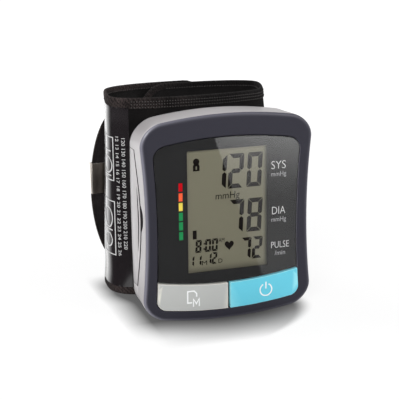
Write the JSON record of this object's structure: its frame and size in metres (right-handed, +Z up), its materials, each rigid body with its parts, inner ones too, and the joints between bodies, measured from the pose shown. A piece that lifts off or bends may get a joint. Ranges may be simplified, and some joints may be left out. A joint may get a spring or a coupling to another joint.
{
  "type": "wrist blood pressure monitor",
  "caption": "Wrist blood pressure monitor: waisted case with a large display and two keys, on a closed cuff loop with a fastening strap.",
  "frame": {"origin": "middle of the flat under the monitor's case, on which it stands", "axes": "+Z up, the display faces -Y, +X to the right as the display is read"},
  "size_m": [0.0766, 0.0586, 0.0866],
  "materials": {
    "bezel": "satin blue-grey moulded plastic",
    "lens": "polished smoked window",
    "lcd": "grey-green liquid crystal display",
    "black_plastic": "black moulded plastic",
    "white_plastic": "white moulded plastic",
    "silicone": "translucent silicone",
    "board": "green circuit board",
    "key_grey": "satin grey key",
    "key_blue": "satin sky blue key",
    "shell": "warm silver lacquer on plastic",
    "cell": "plain sleeve on a steel can",
    "contact": "nickel-plated spring steel",
    "steel": "zinc-plated steel",
    "cuff_cloth": "black loop-pile nylon",
    "lining_cloth": "dark brown-black nylon lining",
    "bladder": "grey welded film",
    "binding": "brown-black woven binding tape",
    "vinyl": "glossy black vinyl with plain white marks",
    "hook_tape": "black hook tape",
    "nickel": "polished nickel"
  },
  "bodies": {
    "monitor": {"front_housing": "bezel", "display_lens": "lens", "lcd_panel": "lcd", "lcd_holder": "black_plastic", "elastomer_strip": "silicone", "circuit_board": "board", "memory_switch": "black_plastic", "power_switch": "black_plastic", "rear_housing": "shell", "battery_cell_outer": "cell", "battery_cell_inner": "cell", "link_contact": "contact", "plus_contact": "contact", "minus_contact": "contact", "control_chip": "black_plastic", "buzzer": "black_plastic", "pump_motor": "steel", "pump_head": "white_plastic", "deflate_valve": "steel", "pressure_sensor": "black_plastic", "air_manifold": "white_plastic", "pump_hose": "silicone", "valve_hose": "silicone", "sensor_hose": "silicone", "case_screw_1": "steel", "case_screw_2": "steel", "case_screw_3": "steel", "case_screw_4": "steel", "board_screw_1": "steel", "board_screw_2": "steel", "board_screw_3": "steel", "board_screw_4": "steel", "cuff_screw_1": "steel", "cuff_screw_2": "steel", "cuff_screw_3": "steel", "cuff_screw_4": "steel", "cuff_cover_front": "cuff_cloth", "cuff_cover_left": "cuff_cloth", "cuff_cover_back": "cuff_cloth", "cuff_cover_right": "cuff_cloth", "cuff_inner_end": "cuff_cloth", "cuff_lining": "lining_cloth", "cuff_stay": "white_plastic", "air_bladder": "bladder", "binding_top": "binding", "binding_bottom": "binding", "label_panel": "vinyl", "fastening_strap": "cuff_cloth", "hook_patch": "hook_tape"},
    "memory_key": {"memory_button": "key_grey"},
    "power_key": {"power_button": "key_blue"},
    "battery_lid": {"battery_cover": "shell"},
    "tongue": {"strap_tongue": "cuff_cloth", "tip_clip": "nickel"}
  },
  "joints": [
    {"name": "memory_press", "type": "slide", "parent": "monitor", "child": "memory_key", "axis": [0, 1, 0], "range_m": [0, 0.0006], "stiffness_N_per_m": 300},
    {"name": "power_press", "type": "slide", "parent": "monitor", "child": "power_key", "axis": [0, 1, 0], "range_m": [0, 0.0006], "stiffness_N_per_m": 300},
    {"name": "battery_cover_release", "type": "slide", "parent": "monitor", "child": "battery_lid", "axis": [-1, 0, 0], "range_m": [0, 0.03]},
    {"name": "tongue_peel", "type": "hinge", "parent": "monitor", "child": "tongue", "pos_m": [-0.028, 0.04465, 0.046], "axis": [0, 0, -1], "range_deg": [0, 75]}
  ]
}
